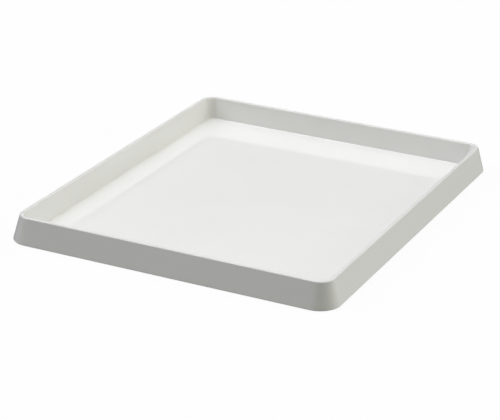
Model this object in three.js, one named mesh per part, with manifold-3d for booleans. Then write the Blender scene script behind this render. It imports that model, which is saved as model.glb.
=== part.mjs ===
// A shallow rectangular tray, in millimetres, +Z up. It stands on the plane z = 0, with its origin under
// its centre.
//
// The shell is one plastic moulding. Its flat floor is held just off the table by its feet. Its inner walls
// slope up and out to a thin rim, and a skirt slopes down and out from that rim to just above the table.
// Between wall and skirt is a hollow that is open underneath and stiffened by thin webs. Four soft round
// feet are stuck under the floor's corners, each inside a low locating ring, and the tray stands on them.
// Nothing on it moves.
import * as THREE from "three";
import { mergeVertices } from "three/addons/utils/BufferGeometryUtils.js";
import Module from "manifold-3d";

// Driving dimensions of the shell.
const WIDTH = 300; // along X, over the skirt's lower edge before it is rounded
const LENGTH = 368; // along Y, the same way
const HEIGHT = 23.4; // from the table to the top of the rim
const SKIRT_LIFT = 0.7; // the skirt's lower edge stands this far off the table
const SKIRT_RADIUS = 19; // plan radius of the skirt's lower corners
const SKIRT_FLARE = 6.2; // how far the skirt spreads out from the rim
const RIM_WIDTH = 3.2; // across the top of the rim
const FLOOR_TOP = 3; // height of the tray's floor
const FLOOR_INSET = 13.5; // from the skirt's lower edge to the foot of the inner wall
const FLOOR_RADIUS = 7.5; // plan radius of the floor's corners
const SKIN = 1.8; // thickness of the moulding

// Roundings of the section.
const RIM_ROUND = 1.3;
const SKIRT_EDGE_ROUND = 0.5;
const FLOOR_ROUND = 1.2; // between the inner wall and the floor, on top
const UNDER_ROUND = 3; // between the inner wall and the floor, underneath
const HOLLOW_TOP = 1.2; // width of the flat at the top of the hollow

// Details under the tray.
const WEB_THICKNESS = 1.6;
const WEB_HEIGHT = 7; // down from the top of the hollow, so that stacked trays don't jam
const WEB_PITCH = 60;
const WEBS_ALONG_LENGTH = 5;
const WEBS_ALONG_WIDTH = 3;
const RING_WALL = 1.1; // locating ring round each foot
const RING_CLEARANCE = 0.5; // between the foot and its ring
const GATE_RADIUS = 2.5; // mark of the mould's gate
const UNDER_DROP = 0.5; // how far the rings and the gate's mark stand down from the floor

// Feet.
const FOOT_RADIUS = 6;
const FOOT_EDGE = 0.5; // chamfer round the face it stands on
const FOOT_FROM_FLOOR_EDGE = 21.5;
const ADHESIVE = 0.3; // film between each foot and the floor

// Smoothness.
const CORNER_STEPS = 10; // per plan corner
const ARC_STEPS = 3; // per rounding of the section
const TURN_STEPS = 32; // per turn of a foot or ring
const FUSE = 0.4; // how far a web, ring or gate mark is sunk into the skin it joins

const RIM_INNER = SKIRT_FLARE + RIM_WIDTH;
const FLOOR_UNDER = FLOOR_TOP - SKIN;

const wasm = await Module();
wasm.setup();

const white = new THREE.MeshStandardMaterial({ color: 0xe9e9e4, roughness: 0.28, metalness: 0 });
const softGrey = new THREE.MeshStandardMaterial({ color: 0xb9bab8, roughness: 0.75, metalness: 0 });

// Plan radius of the corner at an inset: concentric over the skirt and the rim, then easing to the floor's.
function planRadius(inset) {
  if (inset <= RIM_INNER) return SKIRT_RADIUS - inset;
  const share = (inset - RIM_INNER) / (FLOOR_INSET - RIM_INNER);
  return THREE.MathUtils.lerp(SKIRT_RADIUS - RIM_INNER, FLOOR_RADIUS, share);
}

// Inset of the skirt's outer face and of the inner wall's upper face at a height.
const skirtInset = (z) => THREE.MathUtils.mapLinear(z, SKIRT_LIFT, HEIGHT, 0, SKIRT_FLARE);
const wallInset = (z) => THREE.MathUtils.mapLinear(z, HEIGHT, FLOOR_TOP, RIM_INNER, FLOOR_INSET);

// Horizontal thickness of a sloping skin.
const skirtAcross = SKIN * Math.hypot(1, SKIRT_FLARE / (HEIGHT - SKIRT_LIFT));
const wallAcross = SKIN * Math.hypot(1, (FLOOR_INSET - RIM_INNER) / (HEIGHT - FLOOR_TOP));

// A rounded corner of the section, as points from one side's tangent point to the other's.
function rounded(before, corner, after, radius) {
  const toBefore = before.clone().sub(corner).normalize();
  const toAfter = after.clone().sub(corner).normalize();
  const half = toBefore.angleTo(toAfter) / 2;
  const bisector = toBefore.clone().add(toAfter).normalize();
  const centre = bisector.multiplyScalar(radius / Math.sin(half)).add(corner);
  const from = toBefore.multiplyScalar(radius / Math.tan(half)).add(corner).sub(centre);
  const to = toAfter.multiplyScalar(radius / Math.tan(half)).add(corner).sub(centre);
  const turn = Math.atan2(from.cross(to), from.dot(to));
  return Array.from({ length: ARC_STEPS + 1 }, (_, i) =>
    from.clone().rotateAround(new THREE.Vector2(), (turn * i) / ARC_STEPS).add(centre),
  );
}

// The closed loops that the shell is lofted through: from its underside, out under the wall, round the skirt
// and the rim, and down to its floor. Each is {inset, z, radius}.
function shellRings() {
  const at = (inset, z) => new THREE.Vector2(inset, z);
  const ring = (p) => ({ inset: p.x, z: p.y, radius: planRadius(p.x) });

  // Top of the hollow: where the gap between the two skins is HOLLOW_TOP wide.
  const gapAt = (z) => wallInset(z) - wallAcross - skirtInset(z) - skirtAcross;
  const gapSlope = (gapAt(SKIRT_LIFT) - gapAt(HEIGHT)) / (HEIGHT - SKIRT_LIFT);
  const hollowTop = HEIGHT - (HOLLOW_TOP - gapAt(HEIGHT)) / gapSlope;

  const underFoot = at(wallInset(FLOOR_UNDER) - wallAcross, FLOOR_UNDER);
  const hollowInner = at(wallInset(hollowTop) - wallAcross, hollowTop);
  const hollowOuter = at(skirtInset(hollowTop) + skirtAcross, hollowTop);
  const edgeInner = at(skirtInset(SKIRT_LIFT) + skirtAcross, SKIRT_LIFT);
  const edgeOuter = at(0, SKIRT_LIFT);
  const rimOuter = at(SKIRT_FLARE, HEIGHT);
  const rimInner = at(RIM_INNER, HEIGHT);
  const wallFoot = at(FLOOR_INSET, FLOOR_TOP);
  const floorIn = at(FLOOR_INSET + FLOOR_ROUND, FLOOR_TOP);
  const underIn = at(FLOOR_INSET + UNDER_ROUND, FLOOR_UNDER);

  // Behind the inner wall each loop stays concentric with the wall's upper face.
  const behindWall = (p) => ({ inset: p.x, z: p.y, radius: planRadius(p.x + wallAcross) + wallAcross });
  return {
    hollowTop,
    rings: [
      ...rounded(underIn, underFoot, hollowInner, UNDER_ROUND).map(behindWall),
      behindWall(hollowInner),
      ring(hollowOuter),
      ...rounded(hollowOuter, edgeInner, edgeOuter, SKIRT_EDGE_ROUND).map(ring),
      ...rounded(edgeInner, edgeOuter, rimOuter, SKIRT_EDGE_ROUND).map(ring),
      ...rounded(edgeOuter, rimOuter, rimInner, RIM_ROUND).map(ring),
      ...rounded(rimOuter, rimInner, wallFoot, RIM_ROUND).map(ring),
      ...rounded(rimInner, wallFoot, floorIn, FLOOR_ROUND).map(ring),
    ],
  };
}

// One loop in plan: a rounded rectangle, anticlockwise, with the same number of points whatever its size.
function loopPoints({ inset, radius }) {
  const x = WIDTH / 2 - inset - radius;
  const y = LENGTH / 2 - inset - radius;
  const corners = [[x, y], [-x, y], [-x, -y], [x, -y]];
  return corners.flatMap(([cx, cy], i) => {
    const from = (i * Math.PI) / 2;
    const arc = new THREE.EllipseCurve(cx, cy, radius, radius, from, from + Math.PI / 2);
    return arc.getPoints(CORNER_STEPS);
  });
}

// A closed surface through the loops, capped across the first and the last.
function loft(rings) {
  const loops = rings.map(loopPoints);
  const count = loops[0].length;
  const positions = loops.flatMap((loop, k) => loop.flatMap((p) => [p.x, p.y, rings[k].z]));
  const index = [];
  for (let k = 0; k + 1 < loops.length; k++)
    for (let i = 0; i < count; i++) {
      const j = (i + 1) % count;
      const [a, b, c, d] = [k * count + i, k * count + j, (k + 1) * count + j, (k + 1) * count + i];
      index.push(a, b, c, a, c, d);
    }
  const last = (loops.length - 1) * count;
  const cap = (loop) => THREE.ShapeUtils.triangulateShape(loop, []);
  for (const [a, b, c] of cap(loops[0])) index.push(c, b, a);
  for (const [a, b, c] of cap(loops.at(-1))) index.push(last + a, last + b, last + c);
  return new THREE.BufferGeometry()
    .setAttribute("position", new THREE.Float32BufferAttribute(positions, 3))
    .setIndex(index);
}

// Conversions between a three.js geometry and a manifold-3d solid.
function toSolid(geometry) {
  const bare = geometry.clone();
  bare.deleteAttribute("normal");
  bare.deleteAttribute("uv");
  const merged = mergeVertices(bare, 1e-4);
  const vertProperties = new Float32Array(merged.attributes.position.array);
  const triVerts = new Uint32Array(merged.index.array);
  return new wasm.Manifold(new wasm.Mesh({ numProp: 3, vertProperties, triVerts }));
}

function toGeometry(solid) {
  const mesh = solid.getMesh();
  const geometry = new THREE.BufferGeometry();
  geometry.setAttribute("position", new THREE.BufferAttribute(new Float32Array(mesh.vertProperties), 3));
  geometry.setIndex(new THREE.BufferAttribute(new Uint32Array(mesh.triVerts), 1));
  geometry.computeVertexNormals();
  return geometry;
}

// A round piece from a profile of [radius, height] points, turned about a vertical axis at x, y.
function turned(profile, x, y) {
  const points = profile.map(([radius, height]) => new THREE.Vector2(radius, height));
  return new THREE.LatheGeometry(points, TURN_STEPS).rotateX(Math.PI / 2).translate(x, y, 0);
}

// One web: the slice of the hollow below its top, as seen along the rim, extruded to its thickness.
function web(hollowTop, along, side) {
  const low = hollowTop - WEB_HEIGHT;
  const outline = new THREE.Shape([
    new THREE.Vector2(skirtInset(hollowTop) + skirtAcross - FUSE, hollowTop + FUSE),
    new THREE.Vector2(skirtInset(low) + skirtAcross - FUSE, low),
    new THREE.Vector2(wallInset(low) - wallAcross + FUSE, low),
    new THREE.Vector2(wallInset(hollowTop) - wallAcross + FUSE, hollowTop + FUSE),
  ]);
  const depth = side % 2 ? LENGTH / 2 : WIDTH / 2;
  return new THREE.ExtrudeGeometry(outline, { depth: WEB_THICKNESS, bevelEnabled: false })
    .translate(0, 0, -WEB_THICKNESS / 2)
    .rotateX(Math.PI / 2)
    .rotateZ(Math.PI)
    .translate(depth, along, 0)
    .rotateZ((side * Math.PI) / 2);
}

// Offsets of a row of evenly spaced features, centred on 0.
const spaced = (count, pitch) => Array.from({ length: count }, (_, i) => (i - (count - 1) / 2) * pitch);

function webs(hollowTop) {
  return [0, 1, 2, 3].flatMap((side) => {
    const count = side % 2 ? WEBS_ALONG_WIDTH : WEBS_ALONG_LENGTH;
    return spaced(count, WEB_PITCH).map((along) => web(hollowTop, along, side));
  });
}

const footX = WIDTH / 2 - FLOOR_INSET - FOOT_FROM_FLOOR_EDGE;
const footY = LENGTH / 2 - FLOOR_INSET - FOOT_FROM_FLOOR_EDGE;

// The low ring that shows where a foot goes and keeps it from creeping.
function locatingRing(x, y) {
  const inner = FOOT_RADIUS + RING_CLEARANCE;
  const outer = inner + RING_WALL;
  const low = FLOOR_UNDER - UNDER_DROP;
  const high = FLOOR_UNDER + FUSE;
  return turned([[inner, low], [outer, low], [outer, high], [inner, high], [inner, low]], x, y);
}

// The mark of the mould's gate, in the middle of the underside.
function gateMark() {
  const low = FLOOR_UNDER - UNDER_DROP;
  const high = FLOOR_UNDER + FUSE;
  return turned([[0, low], [GATE_RADIUS, low], [GATE_RADIUS, high], [0, high]], 0, 0);
}

function trayShell() {
  const { rings, hollowTop } = shellRings();
  const corners = [[1, 1], [-1, 1], [-1, -1], [1, -1]];
  const added = [
    ...webs(hollowTop),
    ...corners.map(([sx, sy]) => locatingRing(sx * footX, sy * footY)),
    gateMark(),
  ];
  const solid = added.reduce((sum, geometry) => sum.add(toSolid(geometry)), toSolid(loft(rings)));
  return toGeometry(solid);
}

function foot() {
  const top = FLOOR_UNDER - ADHESIVE;
  const sole = FOOT_RADIUS - FOOT_EDGE;
  return turned([[0, 0], [sole, 0], [FOOT_RADIUS, FOOT_EDGE], [FOOT_RADIUS, top], [0, top]], 0, 0);
}

function named(name, geometry, material, x = 0, y = 0) {
  const mesh = new THREE.Mesh(geometry, material);
  mesh.name = name;
  mesh.position.set(x, y, 0);
  return mesh;
}

const tray = new THREE.Group();
tray.name = "tray";
tray.add(named("tray_shell", trayShell(), white));
for (const [end, y] of [["front", -footY], ["back", footY]])
  for (const [side, x] of [["left", -footX], ["right", footX]])
    tray.add(named(`foot_${end}_${side}`, foot(), softGrey, x, y));

export default tray;
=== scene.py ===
# A white moulded tray on a white studio floor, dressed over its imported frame. Metres, +Z up.
import math

import bmesh
import bpy
from mathutils import Matrix, Vector


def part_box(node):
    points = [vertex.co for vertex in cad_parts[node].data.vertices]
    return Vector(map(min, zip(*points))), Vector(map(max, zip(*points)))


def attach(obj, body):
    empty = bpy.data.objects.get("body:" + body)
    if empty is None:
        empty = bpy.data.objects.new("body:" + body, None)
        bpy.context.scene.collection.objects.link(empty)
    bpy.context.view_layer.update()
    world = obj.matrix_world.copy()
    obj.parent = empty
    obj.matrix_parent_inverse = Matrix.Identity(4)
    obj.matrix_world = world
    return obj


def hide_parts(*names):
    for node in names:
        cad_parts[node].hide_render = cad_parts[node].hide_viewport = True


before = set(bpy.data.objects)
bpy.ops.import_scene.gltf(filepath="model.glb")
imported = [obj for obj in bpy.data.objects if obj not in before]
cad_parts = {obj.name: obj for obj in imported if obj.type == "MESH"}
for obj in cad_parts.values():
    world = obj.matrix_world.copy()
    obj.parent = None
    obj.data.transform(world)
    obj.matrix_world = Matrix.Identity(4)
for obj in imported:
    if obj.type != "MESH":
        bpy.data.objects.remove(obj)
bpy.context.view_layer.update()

# ---------------------------------------------------------------- dimensions

MM = 0.001
SHELL_LOW, SHELL_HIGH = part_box("tray_shell")
SHOW_FACE, UNDER_FACE = 0, 1  # material slots of the shell
FEET = ["foot_front_left", "foot_front_right", "foot_back_left", "foot_back_right"]

SKIRT_RADIUS = 19 * MM
SKIRT_FLARE = 6.2 * MM
SKIRT_EDGE_ROUND = 0.5 * MM
RIM_WIDTH = 3.2 * MM
RIM_ROUND = 1.3 * MM
FLOOR_INSET = 13.5 * MM
FLOOR_RADIUS = 7.5 * MM
FLOOR_ROUND = 1.2 * MM
SKIN = 1.8 * MM
UNDER_ROUND = 3 * MM
HOLLOW_TOP = 1.2 * MM
HOLLOW_ROUND = 0.35 * MM

WEB_THICKNESS = 1.6 * MM
WEB_HEIGHT = 7 * MM
WEB_PITCH = 60 * MM
WEBS_ALONG_LENGTH = 5
WEBS_ALONG_WIDTH = 3
RING_WALL = 1.1 * MM
RING_CLEARANCE = 0.5 * MM
GATE_RADIUS = 2.5 * MM
UNDER_DROP = 0.5 * MM
PIN_RADIUS = 3.5 * MM
PIN_DROP = 0.12 * MM
PIN_INWARD = 26 * MM  # from a foot's centre to the nearest pin mark's, along X and along Y
FUSE = 0.4 * MM
SMALL_ROUND = 0.2 * MM

ADHESIVE = 0.3 * MM
FILM_INSET = 0.4 * MM  # from the foot's side to the edge of its adhesive film
FILM_GAP = 0.02 * MM
SOLE_ROUND = 0.4 * MM
FOOT_TOP_ROUND = 0.15 * MM

CORNER_STEPS = 28
ARC_STEPS = 8
HOLLOW_STEPS = 3
QUARTER_STEPS = 4
SOLE_STEPS = 6
TURN_STEPS = 64
PAD_STEPS = 48
SHARP_ANGLE = 30  # degrees, above which an edge is shaded as a corner
SUPPORT = 0.25 * MM  # width of the strip that keeps a flat face's shading flat up to its rounding

HEIGHT = SHELL_HIGH.z
FLOOR_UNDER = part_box(FEET[0])[1].z + ADHESIVE
FLOOR_TOP = FLOOR_UNDER + SKIN
SKIRT_LIFT = SHELL_LOW.z
RIM_INNER = SKIRT_FLARE + RIM_WIDTH
SKIRT_TILT = math.atan2(SKIRT_FLARE, HEIGHT - SKIRT_LIFT)
EDGE_CUT = SKIRT_EDGE_ROUND * ((1 + math.sin(SKIRT_TILT)) / math.cos(SKIRT_TILT) - 1)
HALF_X = SHELL_HIGH.x + EDGE_CUT  # to the skirt's lower edge before it is rounded
HALF_Y = SHELL_HIGH.y + EDGE_CUT


def lerp(a, b, share):
    return a + (b - a) * share


def skirt_inset(z):
    return lerp(0, SKIRT_FLARE, (z - SKIRT_LIFT) / (HEIGHT - SKIRT_LIFT))


def wall_inset(z):
    return lerp(RIM_INNER, FLOOR_INSET, (HEIGHT - z) / (HEIGHT - FLOOR_TOP))


SKIRT_ACROSS = SKIN * math.hypot(1, SKIRT_FLARE / (HEIGHT - SKIRT_LIFT))
WALL_ACROSS = SKIN * math.hypot(1, (FLOOR_INSET - RIM_INNER) / (HEIGHT - FLOOR_TOP))


def gap_at(z):
    """Width of the hollow between the wall and the skirt at a height."""
    return wall_inset(z) - WALL_ACROSS - skirt_inset(z) - SKIRT_ACROSS


GAP_SLOPE = (gap_at(SKIRT_LIFT) - gap_at(HEIGHT)) / (HEIGHT - SKIRT_LIFT)
HOLLOW_Z = HEIGHT - (HOLLOW_TOP - gap_at(HEIGHT)) / GAP_SLOPE


# ---------------------------------------------------------------- materials

# Colours are linear red, green, blue and alpha. A SIZE is that of the noise's features, and a DEPTH a bump's.
SHOW_DEEP = (0.794, 0.794, 0.773, 1)
SHOW_PALE = (0.806, 0.806, 0.787, 1)
SHOW_SPECK = (0.7, 0.7, 0.67, 1)
SHOW_SCUFF = (0.66, 0.66, 0.63, 1)
# the rim's colour: darker than the face, painted shade that keeps the lit rim top from reading too bright
SHOW_RIM_PAINTED_SHADE = (0.69, 0.69, 0.67, 1)
CLOUD_SIZE = 55 * MM
PATCH_SIZE = 9 * MM
SPECK_SIZE = 0.9 * MM
RIPPLE_SIZE = 26 * MM
RIPPLE_DEPTH = 0.008 * MM
SPECK_DEPTH = 0.0012 * MM
RIM_SHADE_AND_WEAR_FROM = 0.9 * MM  # below the top, where the rim's painted shade and its rubbed roughness start
RIM_SHADE_AND_WEAR_FULL = 0.1 * MM
EDGE_SCUFF_FROM = 1.3 * MM  # above the skirt's lower edge, where its scuffing starts
EDGE_SCUFF_FULL = 0.2 * MM

UNDER_DEEP = (0.785, 0.785, 0.764, 1)
UNDER_PALE = (0.803, 0.803, 0.784, 1)
UNDER_SPECK = (0.7, 0.7, 0.68, 1)
UNDER_CLOUD_SIZE = 40 * MM
UNDER_GRAIN_SIZE = 0.45 * MM
UNDER_GRAIN_DEPTH = 0.02 * MM

RUBBER_DEEP = (0.36, 0.36, 0.35, 1)
RUBBER_PALE = (0.46, 0.46, 0.45, 1)
RUBBER_DUST = (0.56, 0.55, 0.52, 1)
RUBBER_MOTTLE_SIZE = 2.5 * MM
RUBBER_GRAIN_SIZE = 0.18 * MM
RUBBER_GRAIN_DEPTH = 0.03 * MM
DUST_HEIGHT = 0.5 * MM  # above the table, where the dust ends

FOAM_DEEP = (0.6, 0.59, 0.55, 1)
FOAM_PALE = (0.74, 0.73, 0.7, 1)
FOAM_CELL_SIZE = 0.25 * MM
FOAM_CELL_DEPTH = 0.03 * MM
FOAM_SCATTER = (0.5 * MM, 0.5 * MM, 0.4 * MM)
FOAM_SCATTER_SHARE = 0.3


def node(tree, kind, **settings):
    made = tree.nodes.new(kind)
    for key, value in settings.items():
        setattr(made, key, value)
    return made


def feed(tree, socket, value):
    """Links an output into a socket, or sets the socket to a plain value."""
    if isinstance(value, bpy.types.NodeSocket):
        tree.links.new(value, socket)
    else:
        socket.default_value = value


def principled(name):
    material = bpy.data.materials.new(name)
    material.use_nodes = True
    tree = material.node_tree
    return material, tree, tree.nodes["Principled BSDF"]


def object_place(tree):
    """The point's place in the tray's own frame, and its height above the table."""
    place = node(tree, "ShaderNodeTexCoord").outputs["Object"]
    split = node(tree, "ShaderNodeSeparateXYZ")
    tree.links.new(place, split.inputs[0])
    return place, split.outputs["Z"]


def noise(tree, place, size, detail=2):
    """Noise between 0 and 1, with features about as large as size."""
    made = node(tree, "ShaderNodeTexNoise")
    tree.links.new(place, made.inputs["Vector"])
    made.inputs["Scale"].default_value = 1 / size
    made.inputs["Detail"].default_value = detail
    return made.outputs["Fac"]


def remap(tree, value, start, end, low, high, smooth=False):
    """A value between start and end turned into one between low and high, and held there outside them."""
    made = node(tree, "ShaderNodeMapRange", interpolation_type="SMOOTHSTEP" if smooth else "LINEAR")
    names = ("Value", "From Min", "From Max", "To Min", "To Max")
    for name, given in zip(names, (value, start, end, low, high)):
        feed(tree, made.inputs[name], given)
    return made.outputs["Result"]


def calc(tree, operation, a, b):
    made = node(tree, "ShaderNodeMath", operation=operation)
    feed(tree, made.inputs[0], a)
    feed(tree, made.inputs[1], b)
    return made.outputs[0]


def blend(tree, share, a, b):
    """Colour a turning into colour b as the share goes from 0 to 1."""
    made = node(tree, "ShaderNodeMix", data_type="RGBA")
    feed(tree, made.inputs["Factor"], share)
    feed(tree, made.inputs[6], a)
    feed(tree, made.inputs[7], b)
    return made.outputs[2]


def bump(tree, height, depth, under=None):
    made = node(tree, "ShaderNodeBump")
    made.inputs["Distance"].default_value = depth
    tree.links.new(height, made.inputs["Height"])
    if under:
        tree.links.new(under, made.inputs["Normal"])
    return made.outputs["Normal"]


def show_plastic():
    """Glossy white face of the moulding: faint clouding and ripple, a rubbed rim whose top is also darkened
    as painted shade, and a scuffed lower edge.
    """
    material, tree, shader = principled("gloss_white_plastic")
    place, height = object_place(tree)
    cloud = noise(tree, place, CLOUD_SIZE, 3)
    patch = noise(tree, place, PATCH_SIZE, 4)
    speck = noise(tree, place, SPECK_SIZE, 3)

    # the rim band: its colour gets painted shade, and its roughness gets the rubbing
    rim = remap(tree, height, HEIGHT - RIM_SHADE_AND_WEAR_FROM, HEIGHT - RIM_SHADE_AND_WEAR_FULL, 0, 1, True)
    rubbed = calc(tree, "MULTIPLY", rim, remap(tree, patch, 0.35, 0.68, 0.8, 1))
    low_edge = remap(tree, height, SKIRT_LIFT + EDGE_SCUFF_FROM, SKIRT_LIFT + EDGE_SCUFF_FULL, 0, 1, True)
    scuffed = calc(tree, "MULTIPLY", low_edge, remap(tree, patch, 0.4, 0.6, 0.2, 1))

    colour = blend(tree, remap(tree, cloud, 0.3, 0.7, 0, 1), SHOW_DEEP, SHOW_PALE)
    colour = blend(tree, remap(tree, speck, 0.66, 0.8, 0, 0.2), colour, SHOW_SPECK)
    colour = blend(tree, calc(tree, "MULTIPLY", scuffed, 0.5), colour, SHOW_SCUFF)
    # painted shade: the rim's top is blended towards a darker colour so the lit rim reads less bright
    colour = blend(tree, calc(tree, "MULTIPLY", rim, 0.8), colour, SHOW_RIM_PAINTED_SHADE)
    feed(tree, shader.inputs["Base Color"], colour)

    gloss = remap(tree, cloud, 0.3, 0.7, 0.075, 0.105)
    gloss = calc(tree, "ADD", gloss, remap(tree, speck, 0.3, 0.8, -0.01, 0.02))
    gloss = calc(tree, "ADD", gloss, calc(tree, "MULTIPLY", rubbed, 0.26))
    gloss = calc(tree, "ADD", gloss, calc(tree, "MULTIPLY", scuffed, 0.3))
    feed(tree, shader.inputs["Roughness"], gloss)

    ripple = bump(tree, noise(tree, place, RIPPLE_SIZE, 1), RIPPLE_DEPTH)
    skin = bump(tree, speck, SPECK_DEPTH, ripple)
    feed(tree, shader.inputs["Normal"], skin)
    return material


def under_plastic():
    """The same white plastic where the mould was spark-eroded: satin, with a fine grain."""
    material, tree, shader = principled("satin_white_plastic")
    place = object_place(tree)[0]
    cloud = noise(tree, place, UNDER_CLOUD_SIZE, 3)
    grain = noise(tree, place, UNDER_GRAIN_SIZE, 3)
    colour = blend(tree, remap(tree, cloud, 0.3, 0.7, 0, 1), UNDER_DEEP, UNDER_PALE)
    colour = blend(tree, remap(tree, grain, 0.35, 0.7, 0, 0.12), colour, UNDER_SPECK)
    feed(tree, shader.inputs["Base Color"], colour)
    feed(tree, shader.inputs["Roughness"], remap(tree, cloud, 0.3, 0.7, 0.34, 0.44))
    feed(tree, shader.inputs["Normal"], bump(tree, grain, UNDER_GRAIN_DEPTH))
    return material


def foot_rubber():
    """Matt grey elastomer, dusty where it meets the table."""
    material, tree, shader = principled("grey_foot_rubber")
    place, height = object_place(tree)
    mottle = noise(tree, place, RUBBER_MOTTLE_SIZE, 4)
    grain = noise(tree, place, RUBBER_GRAIN_SIZE, 3)
    sole = remap(tree, height, DUST_HEIGHT, 0, 0, 1, True)
    dust = calc(tree, "MULTIPLY", sole, remap(tree, mottle, 0.4, 0.65, 0.1, 0.8))
    colour = blend(tree, mottle, RUBBER_DEEP, RUBBER_PALE)
    colour = blend(tree, dust, colour, RUBBER_DUST)
    feed(tree, shader.inputs["Base Color"], colour)
    feed(tree, shader.inputs["Roughness"], remap(tree, mottle, 0.3, 0.7, 0.62, 0.8))
    feed(tree, shader.inputs["Normal"], bump(tree, grain, RUBBER_GRAIN_DEPTH))
    return material


def adhesive_film():
    """Milky acrylic foam tape between a foot and the floor."""
    material, tree, shader = principled("adhesive_foam")
    place = object_place(tree)[0]
    cells = noise(tree, place, FOAM_CELL_SIZE)
    colour = blend(tree, cells, FOAM_DEEP, FOAM_PALE)
    feed(tree, shader.inputs["Base Color"], colour)
    feed(tree, shader.inputs["Roughness"], remap(tree, cells, 0.3, 0.7, 0.45, 0.65))
    feed(tree, shader.inputs["Normal"], bump(tree, cells, FOAM_CELL_DEPTH))
    shader.inputs["Subsurface Weight"].default_value = FOAM_SCATTER_SHARE
    shader.inputs["Subsurface Radius"].default_value = FOAM_SCATTER
    return material


# ---------------------------------------------------------------- mesh tools

def plan_radius(inset):
    """Plan radius of a corner: concentric over the skirt and the rim, then easing to the floor's."""
    if inset <= RIM_INNER:
        return SKIRT_RADIUS - inset
    return lerp(SKIRT_RADIUS - RIM_INNER, FLOOR_RADIUS, (inset - RIM_INNER) / (FLOOR_INSET - RIM_INNER))


def rounded(before, corner, after, radius, steps=ARC_STEPS):
    """A rounded corner of the section, with a narrow strip on each side of it."""
    before, corner, after = Vector(before), Vector(corner), Vector(after)
    to_before = (before - corner).normalized()
    to_after = (after - corner).normalized()
    half = to_before.angle(to_after) / 2
    centre = corner + (to_before + to_after).normalized() * (radius / math.sin(half))
    reach = radius / math.tan(half)
    start = corner + to_before * reach - centre
    end = corner + to_after * reach - centre
    turn = math.atan2(start.cross(end), start.dot(end))
    arc = [centre + Matrix.Rotation(turn * i / steps, 2) @ start for i in range(steps + 1)]
    return [arc[0] + to_before * SUPPORT, *arc, arc[-1] + to_after * SUPPORT]


def shell_rings():
    """(inset, height, corner radius) of each loop: the underside's, then those of the faces that show."""
    under_foot = (wall_inset(FLOOR_UNDER) - WALL_ACROSS, FLOOR_UNDER)
    hollow_inner = (wall_inset(HOLLOW_Z) - WALL_ACROSS, HOLLOW_Z)
    hollow_outer = (skirt_inset(HOLLOW_Z) + SKIRT_ACROSS, HOLLOW_Z)
    edge_inner = (skirt_inset(SKIRT_LIFT) + SKIRT_ACROSS, SKIRT_LIFT)
    edge_outer = (0, SKIRT_LIFT)
    rim_outer = (SKIRT_FLARE, HEIGHT)
    rim_inner = (RIM_INNER, HEIGHT)
    wall_foot = (FLOOR_INSET, FLOOR_TOP)
    floor_in = (FLOOR_INSET + FLOOR_ROUND, FLOOR_TOP)
    under_in = (FLOOR_INSET + UNDER_ROUND, FLOOR_UNDER)

    behind_wall = [
        *rounded(under_in, under_foot, hollow_inner, UNDER_ROUND),
        *rounded(under_foot, hollow_inner, hollow_outer, HOLLOW_ROUND, HOLLOW_STEPS),
    ]
    behind_skirt = [
        *rounded(hollow_inner, hollow_outer, edge_inner, HOLLOW_ROUND, HOLLOW_STEPS),
        *rounded(hollow_outer, edge_inner, edge_outer, SKIRT_EDGE_ROUND),
    ]
    showing = [
        *rounded(edge_inner, edge_outer, rim_outer, SKIRT_EDGE_ROUND),
        *rounded(edge_outer, rim_outer, rim_inner, RIM_ROUND),
        *rounded(rim_outer, rim_inner, wall_foot, RIM_ROUND),
        *rounded(rim_inner, wall_foot, floor_in, FLOOR_ROUND),
    ]
    under = [(x, z, plan_radius(x + WALL_ACROSS) + WALL_ACROSS) for x, z in behind_wall]
    under += [(x, z, plan_radius(x)) for x, z in behind_skirt]
    return under, [(x, z, plan_radius(x)) for x, z in showing]


def loop_points(inset, z, radius):
    """A rounded rectangle in plan, anticlockwise, with the same number of points whatever its size."""
    x = HALF_X - inset - radius
    y = HALF_Y - inset - radius
    points = []
    for i, (cx, cy) in enumerate([(x, y), (-x, y), (-x, -y), (x, -y)]):
        for k in range(CORNER_STEPS + 1):
            angle = math.pi / 2 * (i + k / CORNER_STEPS)
            points.append((cx + radius * math.cos(angle), cy + radius * math.sin(angle), z))
    return points


def solid_from_loops(loops, under_count=0):
    """A closed bmesh through loops of equally many points, capped at both ends. The first under_count
    loops start the faces that get the underside's material."""
    bm = bmesh.new()
    rows = [[bm.verts.new(p) for p in loop] for loop in loops]
    count = len(rows[0])
    for k, (low, high) in enumerate(zip(rows, rows[1:])):
        for i in range(count):
            j = (i + 1) % count
            face = bm.faces.new((low[i], low[j], high[j], high[i]))
            face.material_index = UNDER_FACE if k < under_count else SHOW_FACE
    first = bm.faces.new(reversed(rows[0]))
    first.material_index = UNDER_FACE
    bm.faces.new(rows[-1]).material_index = SHOW_FACE if under_count < len(loops) else UNDER_FACE
    return bm


def turned(profile, x, y, steps=TURN_STEPS, slot=0):
    """A closed bmesh: a profile of (radius, height) points turned about the vertical through x, y. Its faces
    take the material in the slot."""
    bm = bmesh.new()
    rows = []
    for radius, height in profile:
        if radius == 0:
            rows.append([bm.verts.new((x, y, height))] * steps)
            continue
        turn = [2 * math.pi * k / steps for k in range(steps)]
        ring = [(x + radius * math.cos(a), y + radius * math.sin(a), height) for a in turn]
        rows.append([bm.verts.new(point) for point in ring])
    for low, high in zip(rows, rows[1:] + rows[:1]):
        for i in range(steps):
            j = (i + 1) % steps
            corners = list(dict.fromkeys((low[i], low[j], high[j], high[i])))
            if len(corners) > 2:
                bm.faces.new(corners).material_index = slot
    bmesh.ops.recalc_face_normals(bm, faces=bm.faces)
    return bm


def quarter(radius, cx, cz, start, steps=QUARTER_STEPS):
    """Points of a quarter circle of the section, from a start angle in degrees."""
    angles = [math.radians(start + 90 * i / steps) for i in range(steps + 1)]
    return [(cx + radius * math.cos(a), cz + radius * math.sin(a)) for a in angles]


def object_from(bm, name, materials=()):
    mesh = bpy.data.meshes.new(name)
    bm.to_mesh(mesh)
    bm.free()
    for material in materials:
        mesh.materials.append(material)
    made = bpy.data.objects.new(name, mesh)
    bpy.context.scene.collection.objects.link(made)
    return made


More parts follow.
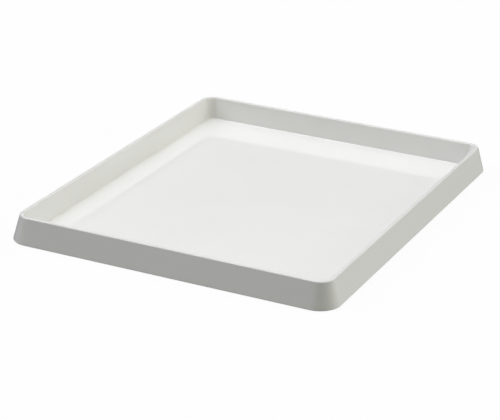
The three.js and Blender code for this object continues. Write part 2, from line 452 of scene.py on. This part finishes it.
def joined(base, others):
    """base with the other objects added to it, as one closed mesh."""
    for other in others:
        union = base.modifiers.new("join", "BOOLEAN")
        union.operation = "UNION"
        union.solver = "EXACT"
        union.object = other
    bpy.context.view_layer.update()
    evaluated = base.evaluated_get(bpy.context.evaluated_depsgraph_get())
    mesh = bpy.data.meshes.new_from_object(evaluated)
    base.modifiers.clear()
    base.data = mesh
    for other in others:
        bpy.data.objects.remove(other)
    return base


def smooth(obj):
    """Smooth shading, broken at edges sharper than SHARP_ANGLE."""
    for polygon in obj.data.polygons:
        polygon.use_smooth = True
    obj.data.set_sharp_from_angle(angle=math.radians(SHARP_ANGLE))


# ---------------------------------------------------------------- the shell

def web(along, side, materials):
    """One web of the hollow rim, across the rim at a place along one of its four sides."""
    low = HOLLOW_Z - WEB_HEIGHT
    high = HOLLOW_Z + FUSE
    outline = [
        (skirt_inset(HOLLOW_Z) + SKIRT_ACROSS - FUSE, high),
        (skirt_inset(low) + SKIRT_ACROSS - FUSE, low),
        (wall_inset(low) - WALL_ACROSS + FUSE, low),
        (wall_inset(HOLLOW_Z) - WALL_ACROSS + FUSE, high),
    ]
    reach = HALF_Y if side % 2 else HALF_X
    turn = Matrix.Rotation(math.pi / 2 * side, 4, "Z")
    loops = []
    for offset in (-WEB_THICKNESS / 2, WEB_THICKNESS / 2):
        loops.append([turn @ Vector((reach - x, along + offset, z)) for x, z in outline])
    bm = solid_from_loops(loops, len(loops))
    bmesh.ops.recalc_face_normals(bm, faces=bm.faces)
    return object_from(bm, "web", materials)


def webs(materials):
    made = []
    for side in range(4):
        count = WEBS_ALONG_WIDTH if side % 2 else WEBS_ALONG_LENGTH
        made += [web((i - (count - 1) / 2) * WEB_PITCH, side, materials) for i in range(count)]
    return made


def foot_place(name):
    """Centre and radius of a foot."""
    low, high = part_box(name)
    return (low + high) / 2, (high.x - low.x) / 2


def locating_ring(name, materials):
    """The low ring round a foot, with rounded lower edges."""
    centre, radius = foot_place(name)
    inner = radius + RING_CLEARANCE
    outer = inner + RING_WALL
    low = FLOOR_UNDER - UNDER_DROP
    high = FLOOR_UNDER + FUSE
    r = SMALL_ROUND
    profile = [
        (inner, high),
        *quarter(r, inner + r, low + r, 180),
        *quarter(r, outer - r, low + r, 270),
        (outer, high),
    ]
    return object_from(turned(profile, centre.x, centre.y, slot=UNDER_FACE), "ring", materials)


def pad(radius, drop, x, y, rounding, materials):
    """A low round mark standing down from the underside, with a rounded edge."""
    low = FLOOR_UNDER - drop
    high = FLOOR_UNDER + FUSE
    edge = quarter(rounding, radius - rounding, low + rounding, 270)
    profile = [(0, low), *edge, (radius, high), (0, high)]
    return object_from(turned(profile, x, y, PAD_STEPS, UNDER_FACE), "pad", materials)


def pin_marks(materials):
    """Faint round marks of the mould's ejector pins, inward of the feet and along the floor's middle."""
    centre = foot_place("foot_back_right")[0]
    reach_x = centre.x - PIN_INWARD
    reach_y = centre.y - PIN_INWARD
    places = [(sx * reach_x, sy * reach_y) for sx in (-1, 0, 1) for sy in (-1, 0, 1) if sx or sy]
    return [pad(PIN_RADIUS, PIN_DROP, x, y, PIN_DROP / 2, materials) for x, y in places]


def tray_shell():
    materials = [show_plastic(), under_plastic()]
    under, showing = shell_rings()
    loops = [loop_points(*ring) for ring in under + showing]
    shell = object_from(solid_from_loops(loops, len(under)), "moulded_shell", materials)
    added = webs(materials) + [locating_ring(name, materials) for name in FEET] + pin_marks(materials)
    added.append(pad(GATE_RADIUS, UNDER_DROP, 0, 0, SMALL_ROUND, materials))
    joined(shell, added)
    smooth(shell)
    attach(shell, "root")
    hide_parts("tray_shell")


# ---------------------------------------------------------------- the feet

def foot_pad(name, rubber):
    """A soft round foot with a rounded sole edge."""
    low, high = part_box(name)
    centre, radius = foot_place(name)
    profile = [
        (0, low.z),
        *quarter(SOLE_ROUND, radius - SOLE_ROUND, low.z + SOLE_ROUND, 270, SOLE_STEPS),
        *quarter(FOOT_TOP_ROUND, radius - FOOT_TOP_ROUND, high.z - FOOT_TOP_ROUND, 0),
        (0, high.z),
    ]
    made = object_from(turned(profile, centre.x, centre.y), name.replace("foot", "foot_pad"), [rubber])
    smooth(made)
    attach(made, "root")
    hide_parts(name)


def foot_film(name, film):
    """The adhesive film between a foot and the floor."""
    centre, radius = foot_place(name)
    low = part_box(name)[1].z + FILM_GAP
    high = FLOOR_UNDER - FILM_GAP
    edge = radius - FILM_INSET
    bulge = (high - low) / 4
    middle = (low + high) / 2
    profile = [(0, low), (edge - bulge, low), (edge, middle), (edge - bulge, high), (0, high)]
    body = turned(profile, centre.x, centre.y)
    made = object_from(body, name.replace("foot", "foot_adhesive"), [film])
    smooth(made)
    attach(made, "root")


def feet():
    rubber = foot_rubber()
    film = adhesive_film()
    for name in FEET:
        foot_pad(name, rubber)
        foot_film(name, film)


# ---------------------------------------------------------------- stage, lights and camera

WHITE = 0.99  # of the floor and of what is seen beyond it
FLOOR_REACH = 6  # half the floor's side, in metres
FLOOR_GLOW = 0.93  # share of the floor's whiteness that doesn't depend on the light, so shadows stay faint
FLOOR_LIGHT = 1.19  # how bright the softboxes make an open white floor
BOUNCE = 0.7  # light that comes back up from the lit floor behind and to the right
BOUNCE_BEARING = 45  # degrees from +Y towards +X, where it is brightest
BOUNCE_SPREAD = 4  # power of the cosine with which it falls off, away from its bearing
BOUNCE_LEAST = 0.06  # added to it all round

NEUTRAL = (1, 1, 1)
COOL = (0.95, 0.95, 1.1)
WARM = (1, 1, 0.9)

# Bearing from +Y towards +X, elevation and width, in degrees, then strength and tint.
SOFTBOXES = {
    "left_key": (250, 38, 30, 5.8, NEUTRAL),
    "left_overhead": (270, 70, 30, 5.6, COOL),
    "back_low": (20, 38, 30, 1.0, NEUTRAL),
    "back_right": (45, 38, 30, 1.7, COOL),
    "back_right_high": (45, 70, 45, 1.9, WARM),
    "right_low": (60, 20, 30, 1.6, WARM),
    "front_right_low": (110, 20, 30, 2.4, WARM),
    "front_overhead": (150, 60, 60, 0.55, WARM),
}


def toward(azimuth, elevation):
    a = math.radians(azimuth)
    e = math.radians(elevation)
    return Vector((math.sin(a) * math.cos(e), math.cos(a) * math.cos(e), math.sin(e)))


def softbox(name, azimuth, elevation, width, strength, tint):
    """A far, wide lamp: a disc of sky so many degrees across, as bright all over as its strength."""
    data = bpy.data.lights.new(name, "SUN")
    data.angle = math.radians(width)
    data.color = tint
    data.energy = strength * 2 * math.pi * (1 - math.cos(data.angle / 2))
    lamp = bpy.data.objects.new(name, data)
    bpy.context.scene.collection.objects.link(lamp)
    lamp.matrix_world = toward(azimuth, elevation).to_track_quat("Z", "Y").to_matrix().to_4x4()


def studio_floor():
    """A white sheet that only the camera sees: the light it throws back up is the world's. It can be seen
    through from below."""
    bm = bmesh.new()
    bmesh.ops.create_grid(bm, x_segments=1, y_segments=1, size=FLOOR_REACH)
    floor = object_from(bm, "studio_floor")
    floor.visible_diffuse = False
    floor.visible_glossy = False
    floor.visible_transmission = False
    floor.visible_shadow = False

    material = bpy.data.materials.new("studio_paper")
    material.use_nodes = True
    tree = material.node_tree
    tree.nodes.clear()
    glow = node(tree, "ShaderNodeEmission")
    glow.inputs["Color"].default_value = (WHITE, WHITE, WHITE, 1)
    glow.inputs["Strength"].default_value = FLOOR_GLOW
    paper = node(tree, "ShaderNodeBsdfDiffuse")
    share = WHITE * (1 - FLOOR_GLOW) / FLOOR_LIGHT
    paper.inputs["Color"].default_value = (share, share, share, 1)
    both = node(tree, "ShaderNodeAddShader")
    tree.links.new(glow.outputs[0], both.inputs[0])
    tree.links.new(paper.outputs[0], both.inputs[1])
    sided = node(tree, "ShaderNodeMixShader")
    tree.links.new(node(tree, "ShaderNodeNewGeometry").outputs["Backfacing"], sided.inputs[0])
    tree.links.new(both.outputs[0], sided.inputs[1])
    tree.links.new(node(tree, "ShaderNodeBsdfTransparent").outputs[0], sided.inputs[2])
    tree.links.new(sided.outputs[0], node(tree, "ShaderNodeOutputMaterial").inputs["Surface"])
    floor.data.materials.append(material)


def studio_world():
    """Dark above the horizon but for the softboxes, the floor's bounce below it, and white to the camera."""
    world = bpy.data.worlds.new("studio")
    world.use_nodes = True
    tree = world.node_tree
    split = node(tree, "ShaderNodeSeparateXYZ")
    tree.links.new(node(tree, "ShaderNodeTexCoord").outputs["Generated"], split.inputs[0])
    below = calc(tree, "LESS_THAN", split.outputs["Z"], 0)
    level = node(tree, "ShaderNodeCombineXYZ")
    tree.links.new(split.outputs["X"], level.inputs["X"])
    tree.links.new(split.outputs["Y"], level.inputs["Y"])
    heading = node(tree, "ShaderNodeVectorMath", operation="NORMALIZE")
    tree.links.new(level.outputs[0], heading.inputs[0])
    facing = node(tree, "ShaderNodeVectorMath", operation="DOT_PRODUCT")
    tree.links.new(heading.outputs[0], facing.inputs[0])
    facing.inputs[1].default_value = toward(BOUNCE_BEARING, 0)
    forward = calc(tree, "MAXIMUM", facing.outputs["Value"], 0)
    share = calc(tree, "POWER", forward, BOUNCE_SPREAD)
    bounce = remap(tree, share, 0, 1, BOUNCE_LEAST, BOUNCE_LEAST + BOUNCE)
    lit = calc(tree, "MULTIPLY", below, bounce)
    to_camera = node(tree, "ShaderNodeLightPath").outputs["Is Camera Ray"]
    seen = blend(tree, to_camera, lit, (WHITE, WHITE, WHITE, 1))
    tree.links.new(seen, tree.nodes["Background"].inputs["Color"])
    bpy.context.scene.world = world


CAMERA_AZIMUTH = 25.439
CAMERA_ELEVATION = 22.381
CAMERA_ROLL = 1.367
CAMERA_DISTANCE = 1.697
CAMERA_LENS = 138.93
SENSOR_WIDTH = 36
CAMERA_TARGET = Vector((1.04 * MM, -22.61 * MM, 1.4 * MM))


def add_camera():
    a = math.radians(CAMERA_AZIMUTH)
    e = math.radians(CAMERA_ELEVATION)
    r = math.radians(CAMERA_ROLL)
    back = Vector((math.sin(a) * math.cos(e), -math.cos(a) * math.cos(e), math.sin(e)))
    across = Vector((0, 0, 1)).cross(back).normalized()
    up = back.cross(across)
    x_axis = across * math.cos(r) + up * math.sin(r)
    y_axis = up * math.cos(r) - across * math.sin(r)
    data = bpy.data.cameras.new("camera")
    data.lens = CAMERA_LENS
    data.sensor_width = SENSOR_WIDTH
    camera = bpy.data.objects.new("camera", data)
    bpy.context.scene.collection.objects.link(camera)
    rotation = Matrix((x_axis, y_axis, back)).transposed().to_4x4()
    camera.matrix_world = Matrix.Translation(CAMERA_TARGET + back * CAMERA_DISTANCE) @ rotation
    bpy.context.scene.camera = camera


tray_shell()
feet()
studio_floor()
studio_world()
for name, lamp in SOFTBOXES.items():
    softbox(name, *lamp)
add_camera()
bpy.context.scene.view_settings.view_transform = "Standard"
